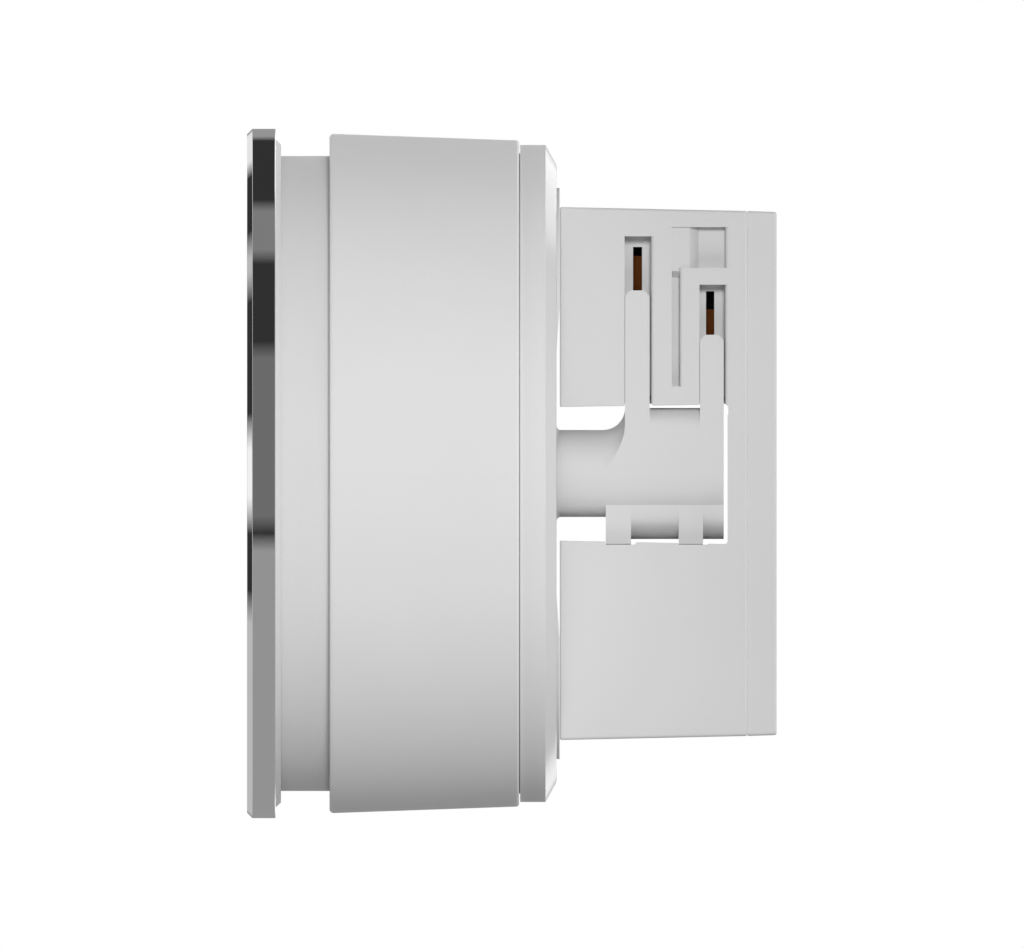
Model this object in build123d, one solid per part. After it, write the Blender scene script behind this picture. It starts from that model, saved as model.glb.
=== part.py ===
from build123d import *
import math
import os

# Wall thermostat on a narrow plug-in adapter. All lengths are in millimetres.
# The turning axis is the Y axis. The front looks along -Y, +Z is up, and the
# wall's surface is the plane y = 0, with the origin on the turning axis.
# Angles in the XZ plane are measured from +X towards +Z.

# ---- head: the polished front that is pressed in ----
BEZEL_R = 42.0
BEZEL_FRONT = -38.07
BEZEL_BACK = -34.60
BEZEL_CHAMFER = 0.65
GLASS_R = 37.5
GLASS_THICK = 1.2
GLASS_RECESS = 0.12
GASKET_THICK = 0.15
GLASS_EDGE = 0.15
GASKET_OVERLAP = 0.1
LEDGE_R = 35.8
FLANGE_R = 40.69
FLANGE_CHAMFER = 0.61
FLANGE_BACK = -33.93
NECK_R = 38.68
NECK_BORE_R = 37.20
NECK_END = -24.20
HEAD_FLOOR_FRONT = -32.60
HEAD_FLOOR_BACK = -31.20
HEAD_RECESS_R = 35.5

# ---- setpoint ring and its drive ----
RING_FRONT = -28.02
RING_BACK = -4.92
RING_FRONT_R = 41.39
RING_BACK_R = 40.58
RING_FRONT_FILLET = 0.5
RING_BACK_FILLET = 0.35
RING_LIP_BORE_R = 39.00
RING_BORE_R = 38.40
RING_BEARING_BORE_R = 39.30
RING_RIB_R = 37.90
RING_RIB_THICK = 1.0
RING_BEARING_GAP = 0.4
RING_LIP_GAP = 0.1
SLIDE_GAP = 0.1
GEAR_MODULE = 0.8
GEAR_TEETH = 92
PINION_TEETH = 20
PRESSURE_ANGLE = 20.0
GEAR_FRONT = -22.90
GEAR_BACK = -18.90
PINION_FRONT = -22.60
PINION_BACK = -19.20
PINION_ANGLE = 270.0

# ---- base, chassis and retainer ----
BASE_R = 40.02
BASE_FRONT = -4.80
BASE_BEVEL_FRONT = -1.71
BASE_BEVEL_R = 37.71
BASE_BEVEL_BACK = -0.43
BASE_BACK = -0.365
BASE_FLOOR_FRONT = -3.20
BASE_LIP_R = 39.0
BASE_LIP_FRONT = -4.97
CHASSIS_R = 38.0
DRUM_R = 35.6
DRUM_BORE_R = 33.6
DRUM_FRONT = -23.20
BEARING_FRONT = -8.60
CHASSIS_FLOOR_FRONT = -4.60
COLLAR_R = 36.9
COLLAR_BORE_R = 34.0
COLLAR_FRONT = -28.60
LUG_FRONT = -26.20
LUG_BACK = -24.20
POST_CIRCLE_R = 28.5
POST_R = 2.4
POST_HOLE_R = 2.7
POST_ANGLES = (90.0, 210.0, 330.0)
RETAINER_SCREW_ANGLES = (40.0, 140.0, 235.0, 305.0)
CHASSIS_SCREW_ANGLES = (18.0, 162.0, 198.0, 342.0)
CHASSIS_SCREW_CIRCLE_R = 31.0
BOARD_SCREW_ANGLES = (60.0, 180.0, 300.0)
BOARD_SCREW_CIRCLE_R = 28.0
BOARD_R = 32.2
BOARD_FRONT = -17.00
BOARD_BACK = -15.80

# ---- adapter: a narrow drafted box with a through opening ----
BOX_HALF_X = 5.30
BOX_FRONT = 0.04
BOX_BACK = 22.85
BOX_FRONT_HALF_Z = 32.47
BOX_BACK_HALF_Z = 31.98
COVER_BACK = 26.44
COVER_BACK_HALF_Z = 31.86
BOX_EDGE_R = 0.43
BOX_FRONT_EDGE_R = 0.25
PARTING_CHAMFER = 0.13
OPENING_END = 20.47
OPENING_TOP_FRONT = 8.10
OPENING_TOP_BACK = 8.41
OPENING_BOTTOM_FRONT = -8.16
OPENING_BOTTOM_BACK = -8.59
CHANNEL_FLOOR_X = 2.20
SLOT_FLOOR_X = 1.00
RELIEF_R = 9.65
UPPER_NOTCH_Z = 8.50
LOWER_NOTCH_Z = 8.66
NOTCH_DROP = 0.35
NOTCH_SLOPE = 0.4
CHANNEL_INNER_Z = 5.0
EASED_R = 0.45
OPENING_CORNER_R = 0.35
OPENING_EDGE_R = 0.12

# ---- lock shaft ----
SHAFT_R = 5.30
SHAFT_BORE_R = 2.6
SHAFT_END = 20.00
SHAFT_BORE_END = 15.0
SHAFT_FLANGE_R = 12.5
SHAFT_FLANGE_FRONT = -3.20
SHAFT_FLANGE_BACK = -1.60
SHAFT_ROOT_R = 5.80
SHAFT_ROOT_END = 0.05
# concave flare of the shaft's root: (inward, back) from its foot
SHAFT_FLARE = ((0.22, 0.07), (0.40, 0.22))
WIDE_HALF_Z = 7.98
WIDE_SHALLOW_X = 3.65
WIDE_CORNER_R = 2.7
WIDE_CLEARANCE_R = 4.0
ROOT_Z = 8.60
ARM_INNER_X = 2.30
ARM_TIP_CHAMFER = 0.65
ARM_FILLET = 2.7
# each arm: front y, back y, tip distance from the axis
NEAR_ARMS = ((7.98, 10.97, 22.3), (17.10, 20.0, 16.9))
FAR_ARMS = ((5.62, 8.71, 22.3), (14.50, 17.48, 16.9))
# each channel: front y, back y, end distance from the axis
NEAR_CHANNELS = ((7.93, 11.15, 28.9), (17.05, 20.16, 23.0))
FAR_CHANNELS = ((5.57, 9.10, 28.9), (14.45, 18.00, 23.0))
# each slot in a channel's floor: front y, back y, outer end, blade end
NEAR_SLOTS = ((8.96, 10.05, 27.6, 26.5), (17.85, 18.85, 22.2, 20.0))
FAR_SLOTS = ((6.70, 7.79, 27.6, 26.5), (15.55, 16.55, 22.2, 20.0))

# pieces of one body overlap by a hair, and cuts start and end outside the body
HAIR = 0.02
OVER = 1.0
# running gap between parts that are fitted into one another
FIT = 0.05
# depth of a screw's hexagon socket as a share of its head's height
SOCKET_SHARE = 0.55


def block(x, y, z):
    """Box between the given (low, high) pairs."""
    size = [b - a for a, b in (x, y, z)]
    middle = [(a + b) / 2 for a, b in (x, y, z)]
    return Pos(*middle) * Box(*size)


def rod(radius, y0, y1, x=0.0, z=0.0):
    """Cylinder along Y."""
    return Pos(x, (y0 + y1) / 2, z) * Rot(90, 0, 0) * Cylinder(radius, y1 - y0)


def pipe(outer, inner, y0, y1, x=0.0, z=0.0):
    """Round tube along Y."""
    return rod(outer, y0, y1, x, z) - rod(inner, y0 - OVER, y1 + OVER, x, z)


def turned(*points):
    """Body of revolution about Y from its outline of (radius, y) corners."""
    outline = make_face(Polyline(*points, close=True))
    return revolve(outline, axis=Axis.Y)


def side_shape(points, x0, x1):
    """Prism along X from its outline of (y, z) corners."""
    outline = make_face(Polyline(*[(x0, y, z) for y, z in points], close=True))
    return extrude(outline, amount=x1 - x0, dir=(1, 0, 0))


def on_circle(radius, angle):
    """(x, z) of a point at an angle round the turning axis."""
    a = math.radians(angle)
    return radius * math.cos(a), radius * math.sin(a)


def rods(radius, y0, y1, circle_r, angles):
    return [rod(radius, y0, y1, *on_circle(circle_r, a)) for a in angles]


def joined(pieces):
    total = pieces[0]
    for piece in pieces[1:]:
        total = total + piece
    return total


def without(body, cuts):
    for cut in cuts:
        body = body - cut
    return body


def screw(head_r, head_y0, head_y1, shank_r, shank_end, x, z, drive_r):
    """Screw along Y with a round head and a hexagon socket in the head's outer face."""
    outward = head_y0 if abs(shank_end - head_y1) < abs(shank_end - head_y0) else head_y1
    near_head = head_y1 if outward == head_y0 else head_y0
    low, high = sorted((near_head, shank_end))
    body = rod(head_r, head_y0, head_y1, x, z) + rod(shank_r, low, high, x, z)
    depth = SOCKET_SHARE * (head_y1 - head_y0)
    inward = depth if outward == head_y0 else -depth
    socket_plane = Plane(origin=(x, outward, z), z_dir=(0, 1, 0))
    socket = extrude(socket_plane * RegularPolygon(drive_r, 6), amount=inward)
    return body - socket


def export(name, pieces):
    if not isinstance(pieces, (list, tuple)):
        pieces = [pieces]
    solids = [s for piece in pieces for s in piece.solids()]
    shape = solids[0] if len(solids) == 1 else Compound(children=solids)
    shape.label = name
    export_step(shape, f"parts/{name}.step")


# ---- gears ----


def involute(angle):
    return math.tan(angle) - angle


def tooth_outline(teeth, thickness, low_r, high_r, first_angle):
    """Outline of a ring of involute teeth that stand outward, as (x, z) corners."""
    pitch_r = GEAR_MODULE * teeth / 2
    alpha = math.radians(PRESSURE_ANGLE)
    base_r = pitch_r * math.cos(alpha)
    steps = 3
    flank = []
    for i in range(steps):
        r = low_r + (high_r - low_r) * i / (steps - 1)
        at_r = math.acos(min(1.0, base_r / max(r, base_r)))
        half = thickness / (2 * pitch_r) + involute(alpha) - involute(at_r)
        flank.append((r, half))
    corners = []
    for i in range(teeth):
        centre = math.radians(first_angle) + 2 * math.pi * i / teeth
        side_a = [(r, centre - half) for r, half in flank]
        side_b = [(r, centre + half) for r, half in reversed(flank)]
        corners += [(r * math.cos(a), r * math.sin(a)) for r, a in side_a + side_b]
    return corners


def toothed_prism(corners, y0, y1):
    outline = make_face(Polyline(*[(x, y0, z) for x, z in corners], close=True))
    return extrude(outline, amount=y1 - y0, dir=(0, 1, 0))


BACKLASH = 0.12
GEAR_RIM = 0.5
PINION_STUB_R = 1.5
PINION_STUB_IN = 1.2
PINION_HUB_R = 4.2
PINION_HUB_STEP = 0.4
HALF_PITCH = math.pi * GEAR_MODULE / 2
GEAR_PITCH_R = GEAR_MODULE * GEAR_TEETH / 2
PINION_PITCH_R = GEAR_MODULE * PINION_TEETH / 2
PINION_CIRCLE_R = GEAR_PITCH_R - PINION_PITCH_R
PINION_X, PINION_Z = on_circle(PINION_CIRCLE_R, PINION_ANGLE)
GEAR_TIP_R = GEAR_PITCH_R - 0.70
GEAR_ROOT_R = GEAR_PITCH_R + 0.90
PINION_TIP_R = PINION_PITCH_R + 0.72
PINION_ROOT_R = PINION_PITCH_R - 0.95


def ring_gear():
    blank = pipe(RING_BORE_R, GEAR_TIP_R - GEAR_RIM, GEAR_FRONT, GEAR_BACK)
    spaces = toothed_prism(
        tooth_outline(GEAR_TEETH, HALF_PITCH + BACKLASH, GEAR_TIP_R, GEAR_ROOT_R, PINION_ANGLE),
        GEAR_FRONT - OVER,
        GEAR_BACK + OVER,
    )
    return blank - spaces


def encoder_pinion():
    corners = tooth_outline(
        PINION_TEETH, HALF_PITCH - BACKLASH, PINION_ROOT_R, PINION_TIP_R, PINION_ANGLE
    )
    moved = [(x + PINION_X, z + PINION_Z) for x, z in corners]
    gear = toothed_prism(moved, PINION_FRONT, PINION_BACK)
    stub = rod(PINION_STUB_R, PINION_BACK - HAIR, ENCODER_FRONT + PINION_STUB_IN, PINION_X, PINION_Z)
    hub = rod(PINION_HUB_R, PINION_FRONT - PINION_HUB_STEP, PINION_FRONT + HAIR, PINION_X, PINION_Z)
    return gear + stub + hub


# ---- head ----


def bezel_ring():
    ledge_front = BEZEL_FRONT + GLASS_RECESS + GLASS_THICK + GASKET_THICK
    ring = turned(
        (GLASS_R + FIT, BEZEL_FRONT),
        (BEZEL_R - BEZEL_CHAMFER, BEZEL_FRONT),
        (BEZEL_R, BEZEL_FRONT + BEZEL_CHAMFER),
        (BEZEL_R, BEZEL_BACK),
        (LEDGE_R, BEZEL_BACK),
        (LEDGE_R, ledge_front),
        (GLASS_R + FIT, ledge_front),
    )
    return ring


def cover_glass():
    front = BEZEL_FRONT + GLASS_RECESS
    edge = GLASS_EDGE
    return turned(
        (0, front),
        (GLASS_R - edge, front),
        (GLASS_R, front + edge),
        (GLASS_R, front + GLASS_THICK),
        (0, front + GLASS_THICK),
    )


GLASS_BACK = BEZEL_FRONT + GLASS_RECESS + GLASS_THICK


def glass_gasket():
    return pipe(GLASS_R - GASKET_OVERLAP, LEDGE_R + GASKET_OVERLAP, GLASS_BACK, GLASS_BACK + GASKET_THICK)


DISPLAY_R = 28.8
DISPLAY_GAP = 0.1
DISPLAY_THICK = 1.5
DISPLAY_FRONT = GLASS_BACK + DISPLAY_GAP
DISPLAY_BACK = DISPLAY_FRONT + DISPLAY_THICK
FRAME_WALL = 1.2
FRAME_FLOOR = 0.5
GUIDE_R = 35.2
GUIDE_BORE_R = 29.1
GUIDE_GROOVE_HALF = 1.1
GUIDE_GROOVE_GAP = 0.15
DISPLAY_BOARD_R = 35.2
DISPLAY_BOARD_THICK = 1.0
DISPLAY_BOARD_FRONT = HEAD_FLOOR_FRONT - DISPLAY_BOARD_THICK
LED_CIRCLE_R = 32.0
LED_COUNT = 12
LED_HEIGHT = 0.5
LED_HALF_WIDTH = 0.8
LED_HALF_LENGTH = 1.0
FLEX_Z = 14.0
FLEX_WIDTH = 8.0
FLEX_THICK = 0.2
FLEX_SLOT_HALF_X = 5.2
FLEX_SLOT_HALF_Z = 1.3


def display_panel():
    return rod(DISPLAY_R, DISPLAY_FRONT, DISPLAY_BACK)


def panel_frame():
    frame = rod(DISPLAY_R, DISPLAY_BACK, DISPLAY_BOARD_FRONT)
    pocket = rod(DISPLAY_R - FRAME_WALL, DISPLAY_BACK + FRAME_FLOOR, DISPLAY_BOARD_FRONT + OVER)
    return frame - pocket


def light_guide():
    guide = pipe(GUIDE_R, GUIDE_BORE_R, DISPLAY_FRONT, DISPLAY_BOARD_FRONT)
    groove = pipe(
        LED_CIRCLE_R + GUIDE_GROOVE_HALF,
        LED_CIRCLE_R - GUIDE_GROOVE_HALF,
        DISPLAY_BOARD_FRONT - LED_HEIGHT - GUIDE_GROOVE_GAP,
        0,
    )
    return guide - groove


def indicator_leds():
    leds = []
    for i in range(LED_COUNT):
        angle = 360 * i / LED_COUNT
        chip = block((-LED_HALF_WIDTH, LED_HALF_WIDTH), (-LED_HEIGHT, 0), (-LED_HALF_LENGTH, LED_HALF_LENGTH))
        x, z = on_circle(LED_CIRCLE_R, angle)
        leds.append(Pos(x, DISPLAY_BOARD_FRONT, z) * Rot(0, -angle, 0) * chip)
    return leds


def display_board():
    return rod(DISPLAY_BOARD_R, DISPLAY_BOARD_FRONT, HEAD_FLOOR_FRONT)


PRESS_POST_R = 3.0
PRESS_POST_END = -21.45
HEAD_SCREW_SHANK_R = 1.0
HEAD_POST_END = -24.00
HEAD_PILOT_DEPTH = 5.0
HEAD_SCREW_REACH = 4.5
HEAD_SCREW_HEAD_R = 2.2
HEAD_SCREW_HEAD = 1.4
WASHER_R = 3.8
WASHER_THICK = 0.5


def head_housing():
    shell = turned(
        (0, HEAD_FLOOR_FRONT),
        (HEAD_RECESS_R, HEAD_FLOOR_FRONT),
        (HEAD_RECESS_R, BEZEL_BACK),
        (FLANGE_R, BEZEL_BACK),
        (FLANGE_R - FLANGE_CHAMFER, FLANGE_BACK),
        (NECK_R, FLANGE_BACK),
        (NECK_R, NECK_END),
        (NECK_BORE_R, NECK_END),
        (NECK_BORE_R, HEAD_FLOOR_BACK),
        (0, HEAD_FLOOR_BACK),
    )
    root = HEAD_FLOOR_BACK - HAIR
    posts = rods(POST_R, root, HEAD_POST_END, POST_CIRCLE_R, POST_ANGLES)
    pilots = rods(
        HEAD_SCREW_SHANK_R, HEAD_POST_END - HEAD_PILOT_DEPTH, HEAD_POST_END + OVER, POST_CIRCLE_R, POST_ANGLES
    )
    press_post = rod(PRESS_POST_R, root, PRESS_POST_END)
    flex_slot = block(
        (-FLEX_SLOT_HALF_X, FLEX_SLOT_HALF_X),
        (HEAD_FLOOR_FRONT - OVER, HEAD_FLOOR_BACK + OVER),
        (FLEX_Z - FLEX_SLOT_HALF_Z, FLEX_Z + FLEX_SLOT_HALF_Z),
    )
    body = joined([shell, press_post] + posts)
    return without(body, pilots + [flex_slot])


def head_screws():
    washer_back = HEAD_POST_END + WASHER_THICK
    screws = []
    for angle in POST_ANGLES:
        x, z = on_circle(POST_CIRCLE_R, angle)
        washer = rod(WASHER_R, HEAD_POST_END, washer_back + HAIR, x, z)
        fastener = screw(
            HEAD_SCREW_HEAD_R, washer_back, washer_back + HEAD_SCREW_HEAD,
            HEAD_SCREW_SHANK_R, HEAD_POST_END - HEAD_SCREW_REACH, x, z, 0.9,
        )
        screws.append(washer + fastener)
    return screws


SPRING_WIRE_R = 0.28
SPRING_COIL_R = 3.15
SPRING_PITCH = 1.15


def return_springs():
    front = HEAD_FLOOR_BACK + SPRING_WIRE_R
    length = LUG_FRONT - HEAD_FLOOR_BACK - 2 * SPRING_WIRE_R
    path = Helix(pitch=SPRING_PITCH, height=length, radius=SPRING_COIL_R)
    start = Plane(origin=path @ 0, z_dir=path % 0)
    coil = sweep(start * Circle(SPRING_WIRE_R), path=path, is_frenet=True)
    springs = []
    for angle in POST_ANGLES:
        x, z = on_circle(POST_CIRCLE_R, angle)
        springs.append(Pos(x, front, z) * Rot(-90, 0, 0) * coil)
    return springs


# ---- setpoint ring ----


def rim_edges(body, least_r, y):
    """Circular edges of at least the given radius in the plane at y."""
    circles = [e for e in body.edges() if e.geom_type == GeomType.CIRCLE and e.radius > least_r]
    return [e for e in circles if abs(e.center().Y - y) < 0.01]


def setpoint_ring():
    body = turned(
        (RING_LIP_BORE_R, RING_FRONT),
        (RING_FRONT_R, RING_FRONT),
        (RING_BACK_R, RING_BACK),
        (RING_BEARING_BORE_R, RING_BACK),
        (RING_BEARING_BORE_R, BEARING_FRONT - RING_BEARING_GAP),
        (RING_BORE_R, BEARING_FRONT - RING_BEARING_GAP),
        (RING_BORE_R, GEAR_BACK + RING_RIB_THICK),
        (RING_RIB_R, GEAR_BACK + RING_RIB_THICK),
        (RING_RIB_R, GEAR_BACK),
        (RING_BORE_R, GEAR_BACK),
        (RING_BORE_R, DRUM_FRONT + RING_LIP_GAP),
        (RING_LIP_BORE_R, DRUM_FRONT + RING_LIP_GAP),
    )
    body = fillet(rim_edges(body, RING_BACK_R - 0.1, RING_FRONT), RING_FRONT_FILLET)
    return fillet(rim_edges(body, RING_BACK_R - 0.1, RING_BACK), RING_BACK_FILLET)


# ---- base ----

SEAT_INNER_R = 28.0
SEAT_OUTER_R = 34.8
SEAT_FLAT_Z = 20.1
SEAT_RAMP_Z = 14.7
SCREW_HEAD_R = 2.4
SCREW_HEAD_DEPTH = 1.3
SCREW_SHANK_R = 1.1
CHASSIS_BOSS_FRONT = -9.0
KEY_HALF_WIDTH = 2.0
KEY_REACH = 14.0
KEY_MIDDLE_X = 8.0
KEY_HALF_LENGTH = 6.0
SCREW_HOLE_GAP = 0.2
SCREW_SUNK = 0.1
SCREW_END_GAP = 1.5
SCREW_SOCKET_R = 1.1
BASE_EDGE = 0.3


def shaft_keys(half_width, reach):
    keys = []
    disc = rod(reach, SHAFT_FLANGE_FRONT, SHAFT_FLANGE_BACK)
    for side in (-1, 1):
        middle = side * KEY_MIDDLE_X
        bar = block(
            (middle - KEY_HALF_LENGTH, middle + KEY_HALF_LENGTH),
            (SHAFT_FLANGE_FRONT, SHAFT_FLANGE_BACK),
            (-half_width, half_width),
        )
        keys.append(bar & disc)
    return keys


def base_plate():
    plate = turned(
        (SHAFT_ROOT_R + FIT, BASE_FLOOR_FRONT),
        (CHASSIS_R + FIT, BASE_FLOOR_FRONT),
        (CHASSIS_R + FIT, BASE_LIP_FRONT),
        (BASE_LIP_R, BASE_LIP_FRONT),
        (BASE_LIP_R, BASE_FRONT),
        (BASE_R, BASE_FRONT),
        (BASE_R, BASE_BEVEL_FRONT),
        (BASE_BEVEL_R, BASE_BEVEL_BACK),
        (BASE_BEVEL_R - BASE_EDGE, BASE_BACK),
        (SHAFT_ROOT_R + FIT, BASE_BACK),
    )
    pocket = rod(SHAFT_FLANGE_R + FIT, BASE_FLOOR_FRONT - OVER, SHAFT_FLANGE_BACK)
    key_pockets = shaft_keys(KEY_HALF_WIDTH + FIT, KEY_REACH + FIT)
    heads = rods(
        SCREW_HEAD_R + FIT, BASE_BACK - SCREW_HEAD_DEPTH, BASE_BACK + OVER,
        CHASSIS_SCREW_CIRCLE_R, CHASSIS_SCREW_ANGLES,
    )
    holes = rods(
        SCREW_SHANK_R + SCREW_HOLE_GAP, BASE_FLOOR_FRONT - OVER, BASE_BACK,
        CHASSIS_SCREW_CIRCLE_R, CHASSIS_SCREW_ANGLES,
    )
    return without(plate, [pocket] + key_pockets + heads + holes)


def seat_pads():
    pads = []
    arc = pipe(SEAT_OUTER_R, SEAT_INNER_R, BASE_BACK, 0)
    for side in (1, -1):
        outline = [
            (BASE_BACK, side * SEAT_RAMP_Z),
            (0, side * SEAT_FLAT_Z),
            (0, side * (SEAT_OUTER_R + OVER)),
            (BASE_BACK, side * (SEAT_OUTER_R + OVER)),
        ]
        pads.append(arc & side_shape(outline, -SEAT_OUTER_R - OVER, SEAT_OUTER_R + OVER))
    return pads


BOSS_R = 3.0
BOSS_CAP = 1.0
BOARD_POST_R = 2.6
BOARD_PILOT_R = 0.9
BOARD_PILOT_DEPTH = 5.5
WIRE_HOLE_R = 4.0
DRUM_WALL_R = (DRUM_R + DRUM_BORE_R) / 2
RETAINER_SCREW_R = 0.7
RETAINER_PILOT_DEPTH = 5.0
PINION_WINDOW_IN = 0.3
PINION_WINDOW_BACK = 0.6
PINION_WINDOW_REACH = 4.0


def chassis():
    drum = turned(
        (0, CHASSIS_FLOOR_FRONT),
        (DRUM_BORE_R, CHASSIS_FLOOR_FRONT),
        (DRUM_BORE_R, DRUM_FRONT),
        (DRUM_R, DRUM_FRONT),
        (DRUM_R, BEARING_FRONT),
        (CHASSIS_R, BEARING_FRONT),
        (CHASSIS_R, BASE_FLOOR_FRONT),
        (0, BASE_FLOOR_FRONT),
    )
    root = CHASSIS_FLOOR_FRONT + HAIR
    bosses = rods(BOSS_R, CHASSIS_BOSS_FRONT, root, CHASSIS_SCREW_CIRCLE_R, CHASSIS_SCREW_ANGLES)
    posts = rods(BOARD_POST_R, BOARD_BACK, root, BOARD_SCREW_CIRCLE_R, BOARD_SCREW_ANGLES)
    wire_hole = rod(WIRE_HOLE_R, CHASSIS_FLOOR_FRONT - OVER, BASE_FLOOR_FRONT + OVER)
    boss_pilots = rods(
        SCREW_SHANK_R, CHASSIS_BOSS_FRONT + BOSS_CAP, BASE_FLOOR_FRONT + OVER,
        CHASSIS_SCREW_CIRCLE_R, CHASSIS_SCREW_ANGLES,
    )
    post_pilots = rods(
        BOARD_PILOT_R, BOARD_BACK - OVER, BOARD_BACK + BOARD_PILOT_DEPTH,
        BOARD_SCREW_CIRCLE_R, BOARD_SCREW_ANGLES,
    )
    wall_pilots = rods(
        RETAINER_SCREW_R, DRUM_FRONT - OVER, DRUM_FRONT + RETAINER_PILOT_DEPTH,
        DRUM_WALL_R, RETAINER_SCREW_ANGLES,
    )
    half = PINION_TIP_R - PINION_WINDOW_IN
    window = block(
        (PINION_X - half, PINION_X + half),
        (DRUM_FRONT - OVER, PINION_BACK + PINION_WINDOW_BACK),
        (-DRUM_R - OVER, -DRUM_BORE_R + PINION_WINDOW_REACH),
    )
    body = joined([drum] + bosses + posts)
    return without(body, [wire_hole, window] + boss_pilots + post_pilots + wall_pilots)


def chassis_screws():
    back = BASE_BACK - SCREW_SUNK
    end = CHASSIS_BOSS_FRONT + SCREW_END_GAP
    screws = []
    for angle in CHASSIS_SCREW_ANGLES:
        x, z = on_circle(CHASSIS_SCREW_CIRCLE_R, angle)
        screws.append(
            screw(SCREW_HEAD_R, BASE_BACK - SCREW_HEAD_DEPTH, back, SCREW_SHANK_R, end, x, z, SCREW_SOCKET_R)
        )
    return screws


def slide_ring():
    return pipe(RING_BEARING_BORE_R - SLIDE_GAP, CHASSIS_R, BEARING_FRONT, RING_BACK - SLIDE_GAP)


RETAINER_HEAD_FLOOR = -25.4
RETAINER_HEAD_R = 1.3
RETAINER_HEAD = 1.0
RETAINER_SCREW_REACH = 4.5
RETAINER_SOCKET_R = 0.55
RETAINER_PAD_R = 1.9
LUG_REACH_IN = 3.9
LUG_ROOT = 0.6
LUG_HALF_WIDTH = 5.0


def ring_retainer():
    body = pipe(COLLAR_R, COLLAR_BORE_R, COLLAR_FRONT, DRUM_FRONT)
    lug = block(
        (POST_CIRCLE_R - LUG_REACH_IN, COLLAR_BORE_R + LUG_ROOT),
        (LUG_FRONT, LUG_BACK),
        (-LUG_HALF_WIDTH, LUG_HALF_WIDTH),
    )
    for angle in POST_ANGLES:
        body = body + Rot(0, -angle, 0) * lug
    for angle in RETAINER_SCREW_ANGLES:
        x, z = on_circle(DRUM_WALL_R, angle)
        pad = rod(RETAINER_PAD_R, COLLAR_FRONT, DRUM_FRONT, x, z)
        body = body + (pad & rod(COLLAR_R, COLLAR_FRONT, DRUM_FRONT))
    holes = rods(POST_HOLE_R, LUG_FRONT - OVER, LUG_BACK + OVER, POST_CIRCLE_R, POST_ANGLES)
    seats = rods(
        RETAINER_HEAD_R + FIT, COLLAR_FRONT - OVER, RETAINER_HEAD_FLOOR, DRUM_WALL_R, RETAINER_SCREW_ANGLES
    )
    drills = rods(
        RETAINER_SCREW_R + 2 * FIT, COLLAR_FRONT - OVER, DRUM_FRONT + OVER, DRUM_WALL_R, RETAINER_SCREW_ANGLES
    )
    return without(body, holes + seats + drills)


def retainer_screws():
    screws = []
    for angle in RETAINER_SCREW_ANGLES:
        x, z = on_circle(DRUM_WALL_R, angle)
        screws.append(
            screw(
                RETAINER_HEAD_R, RETAINER_HEAD_FLOOR - RETAINER_HEAD, RETAINER_HEAD_FLOOR,
                RETAINER_SCREW_R, DRUM_FRONT + RETAINER_SCREW_REACH, x, z, RETAINER_SOCKET_R,
            )
        )
    return screws


# ---- electronics ----

BOARD_DRILL_R = 1.05
ENCODER_FRONT = -19.0
ENCODER_BORE = 1.3
ENCODER_HALF = 4.0
SWITCH_FRONT = -20.2
SWITCH_HALF = 3.1
PLUNGER_R = 1.7
PLUNGER_FRONT = -21.4
PLUNGER_BACK = -19.5
PLUNGER_ROOM = 0.7


def main_board():
    board = rod(BOARD_R, BOARD_FRONT, BOARD_BACK)
    drills = rods(
        BOARD_DRILL_R, BOARD_FRONT - OVER, BOARD_BACK + OVER, BOARD_SCREW_CIRCLE_R, BOARD_SCREW_ANGLES
    )
    return without(board, drills)


BOARD_SCREW_HEAD_R = 1.9
BOARD_SCREW_HEAD = 1.2
BOARD_SCREW_REACH = 5.0
BOARD_SOCKET_R = 0.8


def board_screws():
    head_front = BOARD_FRONT - BOARD_SCREW_HEAD
    end = BOARD_BACK + BOARD_SCREW_REACH
    screws = []
    for angle in BOARD_SCREW_ANGLES:
        x, z = on_circle(BOARD_SCREW_CIRCLE_R, angle)
        screws.append(
            screw(BOARD_SCREW_HEAD_R, head_front, BOARD_FRONT, BOARD_PILOT_R, end, x, z, BOARD_SOCKET_R)
        )
    return screws


def encoder_body():
    case = block(
        (PINION_X - ENCODER_HALF, PINION_X + ENCODER_HALF),
        (ENCODER_FRONT, BOARD_FRONT),
        (PINION_Z - ENCODER_HALF, PINION_Z + ENCODER_HALF),
    )
    bore_end = ENCODER_FRONT + ENCODER_BORE
    return case - rod(PINION_STUB_R + FIT, ENCODER_FRONT - OVER, bore_end, PINION_X, PINION_Z)


def switch_body():
    case = block((-SWITCH_HALF, SWITCH_HALF), (SWITCH_FRONT, BOARD_FRONT), (-SWITCH_HALF, SWITCH_HALF))
    return case - rod(PLUNGER_R + FIT, SWITCH_FRONT - OVER, PLUNGER_BACK + PLUNGER_ROOM)


def switch_plunger():
    return rod(PLUNGER_R, PLUNGER_FRONT, PLUNGER_BACK)


# parts on the board: x limits, height, z limits, corner radius
RELAY = ((-25.0, -7.5), 9.8, (5.0, 17.5), 0.6)
POWER_MODULE = ((8.5, 24.5), 9.4, (-15.0, 13.0), 0.8)
RADIO_MODULE = ((-22.0, -8.0), 2.0, (4.0, 15.0), 0.8)
MICROCONTROLLER = ((8.0, 15.0), 0.9, (8.0, 15.0))
# cans behind the board: x, z, radius, height
CAPACITORS = ((-18.0, -8.5, 4.0, 9.6), (-9.0, -12.5, 4.0, 9.6), (-18.5, -18.0, 3.2, 8.0))
CAN_GROOVE_DEPTH = 0.25
CAN_GROOVE = (1.2, 1.8)


def relay():
    x, height, z, corner = RELAY
    case = block(x, (BOARD_BACK, BOARD_BACK + height), z)
    return fillet(case.edges().filter_by(Axis.Y), corner)


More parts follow.
